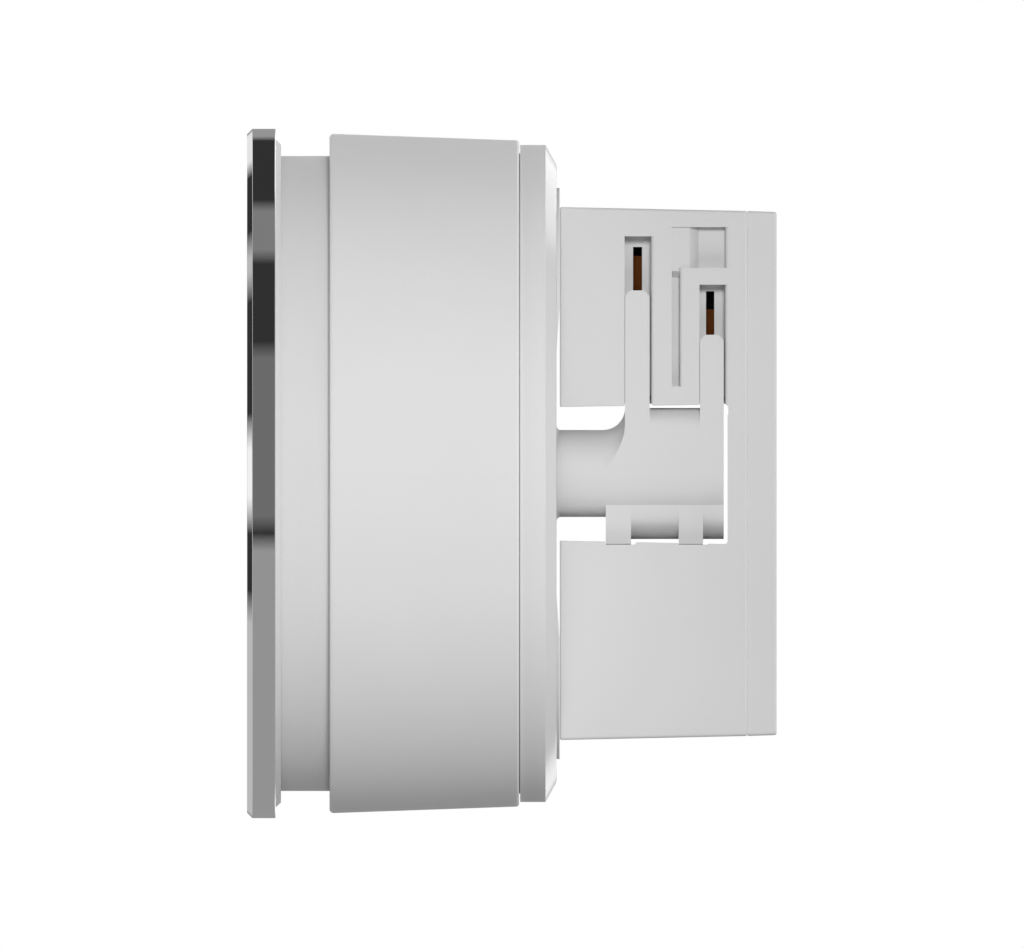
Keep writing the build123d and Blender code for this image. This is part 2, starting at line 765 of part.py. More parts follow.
def power_module():
    x, height, z, corner = POWER_MODULE
    case = block(x, (BOARD_BACK, BOARD_BACK + height), z)
    return fillet(case.edges().filter_by(Axis.Y), corner)


def capacitors():
    cans = []
    groove_y = [BOARD_BACK + y for y in CAN_GROOVE]
    for x, z, radius, height in CAPACITORS:
        can = rod(radius, BOARD_BACK, BOARD_BACK + height, x, z)
        cans.append(can - pipe(radius + OVER, radius - CAN_GROOVE_DEPTH, *groove_y, x, z))
    return cans


WIRE_R = 0.7
WIRE_OFFSET = 1.1
WIRE_INSERTED = 5.0
WIRE_END_GAP = 0.5
TERMINAL_BACK = BOARD_BACK + 8.0
TERMINAL_HALF = 6.0
TERMINAL_CORNER_R = 0.5


def wire_places():
    return [(sx * WIRE_OFFSET, sz * WIRE_OFFSET) for sx in (-1, 1) for sz in (-1, 1)]


def terminal_block():
    limits = (-TERMINAL_HALF, TERMINAL_HALF)
    case = block(limits, (BOARD_BACK, TERMINAL_BACK), limits)
    floor = TERMINAL_BACK - WIRE_INSERTED
    entries = [rod(WIRE_R, floor, TERMINAL_BACK + OVER, x, z) for x, z in wire_places()]
    case = fillet(case.edges().filter_by(Axis.Y), TERMINAL_CORNER_R)
    return without(case, entries)


def shaft_wires():
    floor = TERMINAL_BACK - WIRE_INSERTED
    return [rod(WIRE_R, floor, SHAFT_BORE_END - WIRE_END_GAP, x, z) for x, z in wire_places()]


def microcontroller():
    x, height, z = MICROCONTROLLER
    return block(x, (BOARD_FRONT - height, BOARD_FRONT), z)


def radio_module():
    x, height, z, corner = RADIO_MODULE
    can = block(x, (BOARD_FRONT - height, BOARD_FRONT), z)
    return fillet(can.edges().filter_by(Axis.Y), corner)


BUZZER_X = 15.0
BUZZER_Z = -9.0
BUZZER_R = 4.6
BUZZER_HEIGHT = 3.0
BUZZER_PORT_R = 0.9
BUZZER_PORT_FLOOR = 1.5


def buzzer():
    front = BOARD_FRONT - BUZZER_HEIGHT
    case = rod(BUZZER_R, front, BOARD_FRONT, BUZZER_X, BUZZER_Z)
    return case - rod(BUZZER_PORT_R, front - OVER, BOARD_FRONT - BUZZER_PORT_FLOOR, BUZZER_X, BUZZER_Z)


CELL_X = 0.0
CELL_Z = 22.0
CELL_R = 6.25
CELL_THICK = 2.0
CELL_FRONT = BOARD_BACK + 0.6
HOLDER_WALL = 0.9
HOLDER_BACK = BOARD_BACK + 2.4
THUMB_HALF_WIDTH = 3.0
THUMB_REACH = 9.0
SENSOR_CIRCLE_R = 29.0
SENSOR_ANGLE = 236.0
SENSOR_R = 0.9
SENSOR_Y = BOARD_FRONT - 3.5
SENSOR_LEG_R = 0.22
SENSOR_LEG_X = 0.5
SENSOR_LEG_IN = 0.2


def backup_cell():
    return rod(CELL_R, CELL_FRONT, CELL_FRONT + CELL_THICK, CELL_X, CELL_Z)


def cell_holder():
    tray = rod(CELL_R + HOLDER_WALL, BOARD_BACK, HOLDER_BACK, CELL_X, CELL_Z)
    pocket = rod(CELL_R + FIT, CELL_FRONT, HOLDER_BACK + OVER, CELL_X, CELL_Z)
    thumb = block(
        (-THUMB_HALF_WIDTH, THUMB_HALF_WIDTH),
        (CELL_FRONT, HOLDER_BACK + OVER),
        (CELL_Z, CELL_Z + THUMB_REACH),
    )
    return without(tray, [pocket, thumb])


def temperature_sensor():
    x, z = on_circle(SENSOR_CIRCLE_R, SENSOR_ANGLE)
    bead = Pos(x, SENSOR_Y, z) * Sphere(SENSOR_R)
    leg_front = SENSOR_Y + SENSOR_LEG_IN
    legs = [rod(SENSOR_LEG_R, leg_front, BOARD_FRONT, x + side * SENSOR_LEG_X, z) for side in (-1, 1)]
    return joined([bead] + legs)


FLEX_CONNECTOR_Z = 21.0
FLEX_CONNECTOR_HALF_X = 5.2
FLEX_CONNECTOR_HALF_Z = 1.5
FLEX_CONNECTOR_HEIGHT = 1.4


def flex_connector():
    return block(
        (-FLEX_CONNECTOR_HALF_X, FLEX_CONNECTOR_HALF_X),
        (BOARD_FRONT - FLEX_CONNECTOR_HEIGHT, BOARD_FRONT),
        (FLEX_CONNECTOR_Z - FLEX_CONNECTOR_HALF_Z, FLEX_CONNECTOR_Z + FLEX_CONNECTOR_HALF_Z),
    )


def display_flex():
    """Flat cable that leaves its connector sideways, loops once and ends in the head's slot."""
    start_y = BOARD_FRONT - 0.8
    edge = FLEX_CONNECTOR_Z - FLEX_CONNECTOR_HALF_Z
    end_y = HEAD_FLOOR_FRONT + 0.55
    path = FilletPolyline(
        (0, start_y, edge),
        (0, start_y, FLEX_Z - 5.0),
        (0, -23.5, FLEX_Z - 5.0),
        (0, -26.5, FLEX_Z),
        (0, end_y, FLEX_Z),
        radius=1.0,
    )
    section = Plane(origin=path @ 0, z_dir=path % 0, x_dir=(1, 0, 0)) * Rectangle(FLEX_WIDTH, FLEX_THICK)
    return sweep(section, path=path)


# ---- lock shaft ----


def mirrored(x_limits, z_limits, side):
    """Swap a near, upper block for its far, lower twin by half a turn about Y."""
    if side > 0:
        return x_limits, z_limits
    return (-x_limits[1], -x_limits[0]), (-z_limits[1], -z_limits[0])


def wide_section(side, y0, y1):
    """Half of the shaft's wide part: flat on its own side, rounded where it sweeps past the box."""
    x, z = mirrored((-WIDE_SHALLOW_X, SHAFT_R), (0.0, WIDE_HALF_Z), side)
    body = block(x, (y0, y1), z)
    outer_z = side * WIDE_HALF_Z
    tight = [
        e
        for e in body.edges().filter_by(Axis.Y)
        if abs(e.center().Z - outer_z) < 0.01 and abs(e.center().X - side * SHAFT_R) < 0.01
    ]
    body = fillet(tight, WIDE_CORNER_R)
    wide = [
        e
        for e in body.edges().filter_by(Axis.Y)
        if abs(e.center().Z - outer_z) < 0.01 and abs(e.center().X + side * WIDE_SHALLOW_X) < 0.01
    ]
    return fillet(wide, WIDE_CLEARANCE_R)


def arm(side, y0, y1, tip):
    """Arm that lies along the box's side face, with its root block and chamfered tip."""
    x, z = mirrored((ARM_INNER_X, SHAFT_R), (0.0, tip), side)
    blade = block(x, (y0, y1), z)
    tips = [e for e in blade.edges().filter_by(Axis.X) if abs(abs(e.center().Z) - tip) < 0.01]
    blade = chamfer(tips, ARM_TIP_CHAMFER)
    root_x, root_z = mirrored((-WIDE_SHALLOW_X, SHAFT_R), (0.0, ROOT_Z), side)
    return blade + block(root_x, (y0, y1), root_z)


PAD_THICK = 0.4
PAD_HALF_WIDTH = 0.5
PAD_FROM_TIP = (5.5, 1.2)


def arm_contact(side, y0, y1, tip):
    reach = (tip - PAD_FROM_TIP[0], tip - PAD_FROM_TIP[1])
    x, z = mirrored((ARM_INNER_X, ARM_INNER_X + PAD_THICK), reach, side)
    middle = (y0 + y1) / 2
    return block(x, (middle - PAD_HALF_WIDTH, middle + PAD_HALF_WIDTH), z)


def arm_contacts():
    pads = [arm_contact(1, *a) for a in NEAR_ARMS]
    return pads + [arm_contact(-1, *a) for a in FAR_ARMS]


def shaft_root_fillet():
    """Concave flare from the round shaft into the front of the near arms' block."""
    y1 = NEAR_ARMS[0][0]
    r = ARM_FILLET
    flare = rod(SHAFT_R + r, y1 - r, y1 + HAIR)
    hollow = revolve(Pos(SHAFT_R + r, y1 - r) * Circle(r), axis=Axis.Y)
    flat_side = block((-WIDE_SHALLOW_X, SHAFT_R), (y1 - r - 1, y1 + 1), (0, WIDE_HALF_Z))
    return (flare - hollow) & flat_side


def lock_shaft():
    flare = turned(
        (0, SHAFT_FLANGE_BACK),
        (SHAFT_ROOT_R, SHAFT_FLANGE_BACK),
        (SHAFT_ROOT_R, BASE_BACK),
        *[(SHAFT_ROOT_R - inward, BASE_BACK + back) for inward, back in SHAFT_FLARE],
        (SHAFT_R, SHAFT_ROOT_END),
        (0, SHAFT_ROOT_END),
    )
    flange = rod(SHAFT_FLANGE_R, SHAFT_FLANGE_FRONT, SHAFT_FLANGE_BACK)
    barrel = rod(SHAFT_R, SHAFT_ROOT_END - HAIR, SHAFT_END)
    upper = wide_section(1, NEAR_ARMS[0][0], SHAFT_END)
    lower = wide_section(-1, FAR_ARMS[0][0], SHAFT_END)
    arms = [arm(1, *a) for a in NEAR_ARMS] + [arm(-1, *a) for a in FAR_ARMS]
    body = joined([flange, flare, barrel, upper, lower, shaft_root_fillet()] + arms)
    body = joined([body] + shaft_keys(KEY_HALF_WIDTH, KEY_REACH))
    bore = rod(SHAFT_BORE_R, SHAFT_FLANGE_FRONT - OVER, SHAFT_BORE_END)
    return without(body, [bore] + arm_contacts())


# ---- adapter ----


def rounded_box(outline, half_x, edge_r):
    body = side_shape(outline, -half_x, half_x)
    lengthways = [
        e
        for e in body.edges()
        if abs(e.center().Z) > BOX_BACK_HALF_Z - OVER and abs(abs(e.center().X) - half_x) < 0.01
    ]
    return fillet(lengthways, edge_r)


def opening():
    body = side_shape(
        [
            (-OVER, OPENING_TOP_FRONT),
            (OPENING_END, OPENING_TOP_BACK),
            (OPENING_END, OPENING_BOTTOM_BACK),
            (-OVER, OPENING_BOTTOM_FRONT),
        ],
        -BOX_HALF_X - OVER,
        BOX_HALF_X + OVER,
    )
    corners = [e for e in body.edges().filter_by(Axis.X) if abs(e.center().Y - OPENING_END) < 0.01]
    return fillet(corners, OPENING_CORNER_R)


def eased_edge(side, y, z0, z1):
    """What is cut away to round the edge between a side face and a wall that faces forward."""
    x, z = mirrored((BOX_HALF_X - EASED_R, BOX_HALF_X + OVER), (z0, z1), side)
    corner = block(x, (y - HAIR, y + EASED_R), z)
    round_stock = Pos(side * (BOX_HALF_X - EASED_R), y + EASED_R, sum(z) / 2) * Cylinder(EASED_R, z1 - z0 + 1)
    return corner - round_stock


def channel_cuts(side, channels):
    """Channels for the arms, the relief that their roots sweep and the notch at its edge."""
    cuts = []
    notch_z = UPPER_NOTCH_Z if side > 0 else LOWER_NOTCH_Z
    for y0, y1, end in channels:
        x, z = mirrored((CHANNEL_FLOOR_X, BOX_HALF_X + OVER), (CHANNEL_INNER_Z, end), side)
        cuts.append(block(x, (y0, y1), z))
        cuts.append(eased_edge(side, y1, CHANNEL_INNER_Z, end))
        upper_x, upper_z = mirrored((-RELIEF_R, RELIEF_R), (0, RELIEF_R + OVER), side)
        cuts.append(rod(RELIEF_R, y0, y1) & block(upper_x, (y0, y1), upper_z))
        wide_x = BOX_HALF_X + OVER
        through_x, through_z = mirrored((-wide_x, wide_x), (CHANNEL_INNER_Z, notch_z), side)
        cuts.append(block(through_x, (y0, y1), through_z))
        cuts.append(notch_bevel(side, y1, notch_z))
    return cuts


def notch_bevel(side, y, notch_z):
    """Slope at the rear end of a notch in the opening's edge."""
    edge_z = notch_z - NOTCH_DROP
    outline = [
        (y - HAIR, side * (edge_z - OVER)),
        (y - HAIR, side * notch_z),
        (y, side * notch_z),
        (y + NOTCH_SLOPE, side * edge_z),
        (y + NOTCH_SLOPE, side * (edge_z - OVER)),
    ]
    return side_shape(outline, -BOX_HALF_X - OVER, BOX_HALF_X + OVER)


SLOT_INNER_Z = 15.0
SHORT_SLOT_INNER_Z = 12.6
LONG_SLOT = 25.0
SLOT_OVER_X = 0.5
CAVITY_FRONT = 1.6
CAVITY_FAR_X = -4.1
CAVITY_INNER_Z = 12.2
CAVITY_OUTER_Z = 30.6
RECESS_Y = (13.69, 20.20)
RECESS_Z = (25.05, 30.02)
RECESS_LEG_Y = (13.69, 14.62)
RECESS_LEG_Z = 10.6
RECESS_SHALLOW = 0.3
RECESS_DEEP = 1.6
RECESS_RAMP_Y = (15.86, 16.95)
RECESS_RAMP_Z = (24.66, 23.88)
FAR_SHIFT = -2.4


def recess_cuts(side, shift):
    """L-shaped track: shallow at its corner, with ramps down to a deep arm and a deep leg."""
    top = BOX_HALF_X + OVER
    shallow = BOX_HALF_X - RECESS_SHALLOW
    deep = BOX_HALF_X - RECESS_DEEP
    y0, y1 = [y + shift for y in RECESS_Y]
    leg_y = [y + shift for y in RECESS_LEG_Y]
    ramp_y = [y + shift for y in RECESS_RAMP_Y]
    arm_outline = [
        (top, y0),
        (shallow, y0),
        (shallow, ramp_y[0]),
        (deep, ramp_y[1]),
        (deep, y1),
        (top, y1),
    ]
    corners = [(side * x, y, side * RECESS_Z[0]) for x, y in arm_outline]
    arm_cut = extrude(
        make_face(Polyline(*corners, close=True)), amount=RECESS_Z[1] - RECESS_Z[0], dir=(0, 0, side)
    )
    leg_outline = [
        (top, RECESS_Z[0] + HAIR),
        (shallow, RECESS_Z[0] + HAIR),
        (shallow, RECESS_RAMP_Z[0]),
        (deep, RECESS_RAMP_Z[1]),
        (deep, RECESS_LEG_Z),
        (top, RECESS_LEG_Z),
    ]
    corners = [(side * x, leg_y[0], side * z) for x, z in leg_outline]
    leg_cut = extrude(make_face(Polyline(*corners, close=True)), amount=leg_y[1] - leg_y[0], dir=(0, 1, 0))
    return [
        arm_cut,
        leg_cut,
        eased_edge(side, y1, *RECESS_Z),
        eased_edge(side, leg_y[1], RECESS_LEG_Z, RECESS_Z[0]),
    ]


def tower_cuts(side, slots, shift):
    """Slots in the channel floors, the hollow behind them and the L-shaped recess."""
    cuts = []
    for y0, y1, end, _ in slots:
        inner_z = SLOT_INNER_Z if end > LONG_SLOT else SHORT_SLOT_INNER_Z
        x, z = mirrored((0.0, CHANNEL_FLOOR_X + SLOT_OVER_X), (inner_z, end), side)
        cuts.append(block(x, (y0, y1), z))
    x, z = mirrored((CAVITY_FAR_X, SLOT_FLOOR_X), (CAVITY_INNER_Z, CAVITY_OUTER_Z), side)
    cuts.append(block(x, (CAVITY_FRONT, BOX_BACK + OVER), z))
    return cuts + recess_cuts(side, shift)


COVER_SCREW_Z = 10.3
COVER_SCREW_END = 20.9
COVER_SCREW_R = 0.9
COVER_HEAD_R = 1.9
COVER_HEAD_DEPTH = 1.4
COVER_HEAD_GAP = 0.1
COVER_HEAD_SUNK = 0.15
COVER_SOCKET_R = 0.9


def long_opening_edges(body, side):
    """Edges where the opening's top and bottom meet one side face."""
    planes = body.faces().filter_by(GeomType.PLANE)
    flats = [f for f in planes if abs(f.center().X - side * BOX_HALF_X) < 0.001]
    edges = [e for f in flats for e in f.edges()]
    return [e for e in edges if OPENING_TOP_FRONT - 0.1 < abs(e.center().Z) < LOWER_NOTCH_Z and e.length > 3]


def adapter_body():
    body = rounded_box(
        [
            (BOX_FRONT, BOX_FRONT_HALF_Z),
            (BOX_BACK, BOX_BACK_HALF_Z),
            (BOX_BACK, -BOX_BACK_HALF_Z),
            (BOX_FRONT, -BOX_FRONT_HALF_Z),
        ],
        BOX_HALF_X,
        BOX_EDGE_R,
    )
    front = body.faces().sort_by(Axis.Y)[0].edges()
    body = fillet(front, BOX_FRONT_EDGE_R)
    back = body.faces().sort_by(Axis.Y)[-1].edges()
    body = chamfer(back, PARTING_CHAMFER)
    cuts = [opening()]
    cuts += channel_cuts(1, NEAR_CHANNELS) + channel_cuts(-1, FAR_CHANNELS)
    cuts += tower_cuts(1, NEAR_SLOTS, 0.0) + tower_cuts(-1, FAR_SLOTS, FAR_SHIFT)
    for side in (-1, 1):
        cuts.append(rod(COVER_SCREW_R, COVER_SCREW_END, BOX_BACK + OVER, 0, side * COVER_SCREW_Z))
    body = without(body, cuts)
    for side in (1, -1):
        body = fillet(long_opening_edges(body, side), OPENING_EDGE_R)
    return body


def adapter_cover():
    body = rounded_box(
        [
            (BOX_BACK, BOX_BACK_HALF_Z),
            (COVER_BACK, COVER_BACK_HALF_Z),
            (COVER_BACK, -COVER_BACK_HALF_Z),
            (BOX_BACK, -BOX_BACK_HALF_Z),
        ],
        BOX_HALF_X,
        BOX_EDGE_R,
    )
    back = body.faces().sort_by(Axis.Y)[-1].edges()
    body = fillet(back, BOX_FRONT_EDGE_R)
    front = body.faces().sort_by(Axis.Y)[0].edges()
    body = chamfer(front, PARTING_CHAMFER)
    cuts = []
    seat_floor = COVER_BACK - COVER_HEAD_DEPTH
    for side in (-1, 1):
        z = side * COVER_SCREW_Z
        cuts.append(rod(COVER_HEAD_R + COVER_HEAD_GAP, seat_floor, COVER_BACK + OVER, 0, z))
        cuts.append(rod(COVER_SCREW_R + COVER_HEAD_GAP, BOX_BACK - OVER, COVER_BACK, 0, z))
    return without(body, cuts)


def cover_screws():
    return [
        screw(
            COVER_HEAD_R, COVER_BACK - COVER_HEAD_DEPTH, COVER_BACK - COVER_HEAD_SUNK,
            COVER_SCREW_R, COVER_SCREW_END + COVER_HEAD_GAP, 0, side * COVER_SCREW_Z, COVER_SOCKET_R,
        )
        for side in (-1, 1)
    ]


BLADE_X = (0.3, 0.8)
BLADE_MARGIN = 0.4
BLADE_INNER_Z = 12.5
LONG_BLADE = 25.0
LONG_LEG_X = (-0.6, -0.1)
LONG_LEG_END_Z = 14.5
SHORT_LEG_END_Z = 17.5
BLADE_COVER_GAP = 0.3


def contact_blades(side, slots):
    """Copper strips behind the slots, each with a leg that runs back to the cover."""
    blades = []
    leg_back = BOX_BACK - BLADE_COVER_GAP
    for y0, y1, _, blade_end in slots:
        width = (y0 - BLADE_MARGIN, y1 + BLADE_MARGIN)
        x, z = mirrored(BLADE_X, (BLADE_INNER_Z, blade_end), side)
        strip = block(x, width, z)
        if blade_end > LONG_BLADE:
            leg_x, leg_z = mirrored(LONG_LEG_X, (BLADE_INNER_Z, LONG_LEG_END_Z), side)
            joint_x, _ = mirrored((LONG_LEG_X[0], BLADE_X[1]), (BLADE_INNER_Z, LONG_LEG_END_Z), side)
            strip = strip + block(joint_x, width, leg_z)
        else:
            leg_x, leg_z = mirrored(BLADE_X, (BLADE_INNER_Z, SHORT_LEG_END_Z), side)
        blades.append(strip + block(leg_x, (y0, leg_back), leg_z))
    return blades


def main():
    os.makedirs("parts", exist_ok=True)
    export("bezel_ring", bezel_ring())
    export("cover_glass", cover_glass())
    export("glass_gasket", glass_gasket())
    export("display_panel", display_panel())
    export("panel_frame", panel_frame())
    export("light_guide", light_guide())
    export("indicator_leds", indicator_leds())
    export("display_board", display_board())
    export("head_housing", head_housing())
    export("head_screws", head_screws())
    export("return_springs", return_springs())
    export("setpoint_ring", setpoint_ring())
    export("ring_gear", ring_gear())
    export("encoder_pinion", encoder_pinion())
    export("encoder_body", encoder_body())
    export("slide_ring", slide_ring())
    export("ring_retainer", ring_retainer())
    export("retainer_screws", retainer_screws())
    export("base_plate", base_plate())
    export("seat_pads", seat_pads())
    export("chassis", chassis())
    export("chassis_screws", chassis_screws())
    export("main_board", main_board())
    export("board_screws", board_screws())
    export("switch_body", switch_body())
    export("switch_plunger", switch_plunger())
    export("relay", relay())
    export("power_module", power_module())
    export("capacitors", capacitors())
    export("terminal_block", terminal_block())
    export("shaft_wires", shaft_wires())
    export("microcontroller", microcontroller())
    export("radio_module", radio_module())
    export("buzzer", buzzer())
    export("backup_cell", backup_cell())
    export("cell_holder", cell_holder())
    export("temperature_sensor", temperature_sensor())
    export("flex_connector", flex_connector())
    export("display_flex", display_flex())
    export("lock_shaft", lock_shaft())
    export("arm_contacts", arm_contacts())
    export("adapter_body", adapter_body())
    export("adapter_cover", adapter_cover())
    export("cover_screws", cover_screws())
    export("near_contact_blades", contact_blades(1, NEAR_SLOTS))
    export("far_contact_blades", contact_blades(-1, FAR_SLOTS))


main()
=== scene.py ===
import math

import bmesh
import bpy
from mathutils import Matrix, Vector


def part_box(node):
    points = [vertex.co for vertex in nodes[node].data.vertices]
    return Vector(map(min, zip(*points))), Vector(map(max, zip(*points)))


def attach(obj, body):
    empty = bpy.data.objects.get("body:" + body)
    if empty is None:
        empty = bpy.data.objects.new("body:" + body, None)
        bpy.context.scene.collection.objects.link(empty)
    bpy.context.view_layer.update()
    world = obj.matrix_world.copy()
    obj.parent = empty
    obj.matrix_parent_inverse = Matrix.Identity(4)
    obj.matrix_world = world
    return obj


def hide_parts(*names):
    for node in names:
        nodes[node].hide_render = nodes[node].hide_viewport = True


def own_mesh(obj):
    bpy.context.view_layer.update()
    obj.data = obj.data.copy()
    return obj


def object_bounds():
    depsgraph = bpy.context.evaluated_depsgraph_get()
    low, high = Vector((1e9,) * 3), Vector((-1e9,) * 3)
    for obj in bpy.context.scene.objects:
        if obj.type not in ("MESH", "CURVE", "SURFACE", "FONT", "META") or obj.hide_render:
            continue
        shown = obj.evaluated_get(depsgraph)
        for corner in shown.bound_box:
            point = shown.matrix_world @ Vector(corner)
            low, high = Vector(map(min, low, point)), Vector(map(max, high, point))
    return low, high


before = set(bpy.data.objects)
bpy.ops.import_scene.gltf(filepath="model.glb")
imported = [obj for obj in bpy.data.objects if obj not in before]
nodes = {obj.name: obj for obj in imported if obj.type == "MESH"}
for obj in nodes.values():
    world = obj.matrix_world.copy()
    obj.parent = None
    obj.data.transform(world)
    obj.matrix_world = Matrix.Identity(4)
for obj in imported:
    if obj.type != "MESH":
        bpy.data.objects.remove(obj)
cad_low, cad_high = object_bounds()

MM = 0.001


# ---- node materials ----


class Shader:
    """A Principled material whose pattern nodes are added one at a time."""

    def __init__(self, name):
        self.material = bpy.data.materials.new(name)
        self.material.use_nodes = True
        self.tree = self.material.node_tree
        self.surface = self.tree.nodes["Principled BSDF"]
        self.place = self.node("ShaderNodeTexCoord").outputs["Object"]

    def node(self, kind, *inputs, **settings):
        made = self.tree.nodes.new(kind)
        named = settings.pop("named", {})
        for key, value in settings.items():
            setattr(made, key, value)
        for key, value in list(enumerate(inputs)) + list(named.items()):
            if value is None:
                continue
            if isinstance(value, bpy.types.NodeSocket):
                self.tree.links.new(value, made.inputs[key])
            else:
                made.inputs[key].default_value = value
        return made

    def math(self, operation, *inputs):
        return self.node("ShaderNodeMath", *inputs, operation=operation).outputs[0]

    def axes(self):
        split = self.node("ShaderNodeSeparateXYZ", self.place)
        return split.outputs[0], split.outputs[1], split.outputs[2]

    def noise(self, scale, detail=2.0):
        named = {"Scale": scale, "Detail": detail, "Roughness": 0.5}
        return self.node("ShaderNodeTexNoise", self.place, named=named).outputs[0]

    def ramp(self, value, *stops):
        made = self.node("ShaderNodeValToRGB", value)
        elements = made.color_ramp.elements
        while len(elements) < len(stops):
            elements.new(0.5)
        for element, (position, colour) in zip(elements, stops):
            element.position = position
            element.color = (*colour, 1.0)
        return made.outputs[0]

    def between(self, value, low, high):
        """Value from 0 to 1 spread over low to high."""
        named = {"To Min": low, "To Max": high}
        return self.node("ShaderNodeMapRange", value, named=named).outputs[0]

    def share(self, value, start, end):
        """0 where the value is at start or before it, 1 from end on."""
        named = {"From Min": start, "From Max": end}
        return self.node("ShaderNodeMapRange", value, named=named).outputs[0]

    def blend(self, share, first, second):
        made = self.node("ShaderNodeMix", data_type="RGBA")
        for socket, value in ((made.inputs[0], share), (made.inputs[6], first), (made.inputs[7], second)):
            if isinstance(value, bpy.types.NodeSocket):
                self.tree.links.new(value, socket)
            else:
                socket.default_value = value
        return made.outputs[2]

    def bump(self, height, distance):
        named = {"Strength": 1.0, "Distance": distance, "Height": height}
        return self.node("ShaderNodeBump", named=named).outputs[0]

    def set(self, **values):
        for key, value in values.items():
            socket = self.surface.inputs[key.replace("_", " ")]
            if isinstance(value, bpy.types.NodeSocket):
                self.tree.links.new(value, socket)
            else:
                socket.default_value = value
        return self.material


def grey(value):
    return (value, value, value, 1.0)


def moulded(name, tone, grain_scale, grain_depth, rough_low, rough_high):
    """Moulded plastic: fine spark-eroded grain, faint flow variation and slightly uneven gloss."""
    s = Shader(name)
    grain = s.noise(grain_scale, 3.0)
    return s.set(
        Base_Color=flow_tone(s, tone),
        Roughness=s.between(grain, rough_low, rough_high),
        Normal=s.bump(grain, grain_depth),
    )


def flow_tone(s, tone):
    flow = s.noise(45.0, 2.0)
    low = tuple(c * 0.985 for c in tone[:3])
    high = tuple(min(1.0, c * 1.012) for c in tone[:3])
    return s.ramp(flow, (0.3, low), (0.7, high))


def inside(s, value, low, high, soft, unit=MM):
    """1 where the value, in millimetres unless another unit is given, lies between low and high."""
    rise = s.share(value, low * unit, (low + soft) * unit)
    fall = s.share(value, high * unit, (high - soft) * unit)
    return s.math("MULTIPLY", rise, fall)


# where the adapter's sunk areas lie, in millimetres
ADAPTER_SIDE_X = 5.28
POCKET_FLOOR_X = 4.6
POCKET_Z = (7.9, 31.2)
POCKET_Y = (0.6, 22.6)
POCKET_EDGE = 0.05
HOLLOW_Z = (11.9, 30.9)
HOLLOW_Y = (1.2, 22.6)
HOLLOW_X = (-4.4, 2.0)
HOLLOW_EDGE = 0.1
PARTING_LINE_Y = (22.66, 23.02)
PARTING_LINE_EDGE = 0.04


def in_pocket(s):
    """How deep a point of the adapter lies in its channels and its L-shaped track."""
    x, y, z = s.axes()
    sunk = s.share(s.math("ABSOLUTE", x), ADAPTER_SIDE_X * MM, POCKET_FLOOR_X * MM)
    in_height = inside(s, s.math("ABSOLUTE", z), *POCKET_Z, POCKET_EDGE)
    area = s.math("MULTIPLY", in_height, inside(s, y, *POCKET_Y, POCKET_EDGE))
    return s.math("MULTIPLY", sunk, area)


def in_hollow(s):
    """The unlit hollow behind the adapter's slots, where near-black shadow is painted."""
    x, y, z = s.axes()
    in_height = inside(s, s.math("ABSOLUTE", z), *HOLLOW_Z, HOLLOW_EDGE)
    area = s.math("MULTIPLY", in_height, inside(s, y, *HOLLOW_Y, HOLLOW_EDGE))
    inward = s.math("MULTIPLY", x, s.math("SIGN", z))
    return s.math("MULTIPLY", inside(s, inward, *HOLLOW_X, POCKET_EDGE), area)


def on_parting_line(s):
    return inside(s, s.axes()[1], *PARTING_LINE_Y, PARTING_LINE_EDGE)


# Painted shade and highlight: how far the crease shade reaches, the shade painted on channel floors, the
# near-black shadow painted in the hollow, and the highlight painted on the parting line.
CREASE_SHADE_REACH = 3.0
POCKET_SHADE_TONE = 0.97
HOLLOW_SHADOW_TONE = 0.004
PARTING_HIGHLIGHT_TONE = 1.12


def white_plastic(name, tone, grain_scale, grain_depth, rough, smooth, crease_shade, painted_adapter_light=False):
    """Outer white shell: grained faces, polished faces towards the wall, and painted shade darkening the
    creases.
    """
    s = Shader(name)
    grain = s.noise(grain_scale, 3.0)
    fine = s.noise(grain_scale * 2.7, 2.0)
    polished = s.share(s.axes()[1], smooth[0] * MM, smooth[1] * MM)
    # painted shade: an ambient occlusion node darkens the colour in creases
    crease_occlusion = s.node("ShaderNodeAmbientOcclusion", named={"Distance": CREASE_SHADE_REACH * MM}, samples=8)
    shade = s.ramp(crease_occlusion.outputs["AO"], (0.0, (crease_shade,) * 3), (0.9, (1.0,) * 3))
    shaded = s.node("ShaderNodeMix", data_type="RGBA", blend_type="MULTIPLY")
    shaded.inputs[0].default_value = 1.0
    body_tone = flow_tone(s, tone)
    if painted_adapter_light:
        # painted shade on the floors of the channels and the L-shaped track
        body_tone = s.blend(in_pocket(s), body_tone, grey(tone[0] * POCKET_SHADE_TONE))
        # painted shadow: the hollow behind the slots is coloured near black
        body_tone = s.blend(in_hollow(s), body_tone, grey(HOLLOW_SHADOW_TONE))
        # painted highlight: the parting line is coloured lighter
        body_tone = s.blend(on_parting_line(s), body_tone, grey(tone[0] * PARTING_HIGHLIGHT_TONE))
    s.tree.links.new(body_tone, shaded.inputs[6])
    s.tree.links.new(shade, shaded.inputs[7])
    gloss = s.math("MULTIPLY", polished, rough[2] - rough[0])
    roughness = s.math("ADD", s.between(grain, rough[0], rough[1]), gloss)
    depth = s.math("SUBTRACT", 1.0, s.math("MULTIPLY", polished, 0.9))
    height = s.math("MULTIPLY", s.math("ADD", grain, s.math("MULTIPLY", fine, 0.5)), depth)
    return s.set(Base_Color=shaded.outputs[2], Roughness=roughness, Normal=s.bump(height, grain_depth))


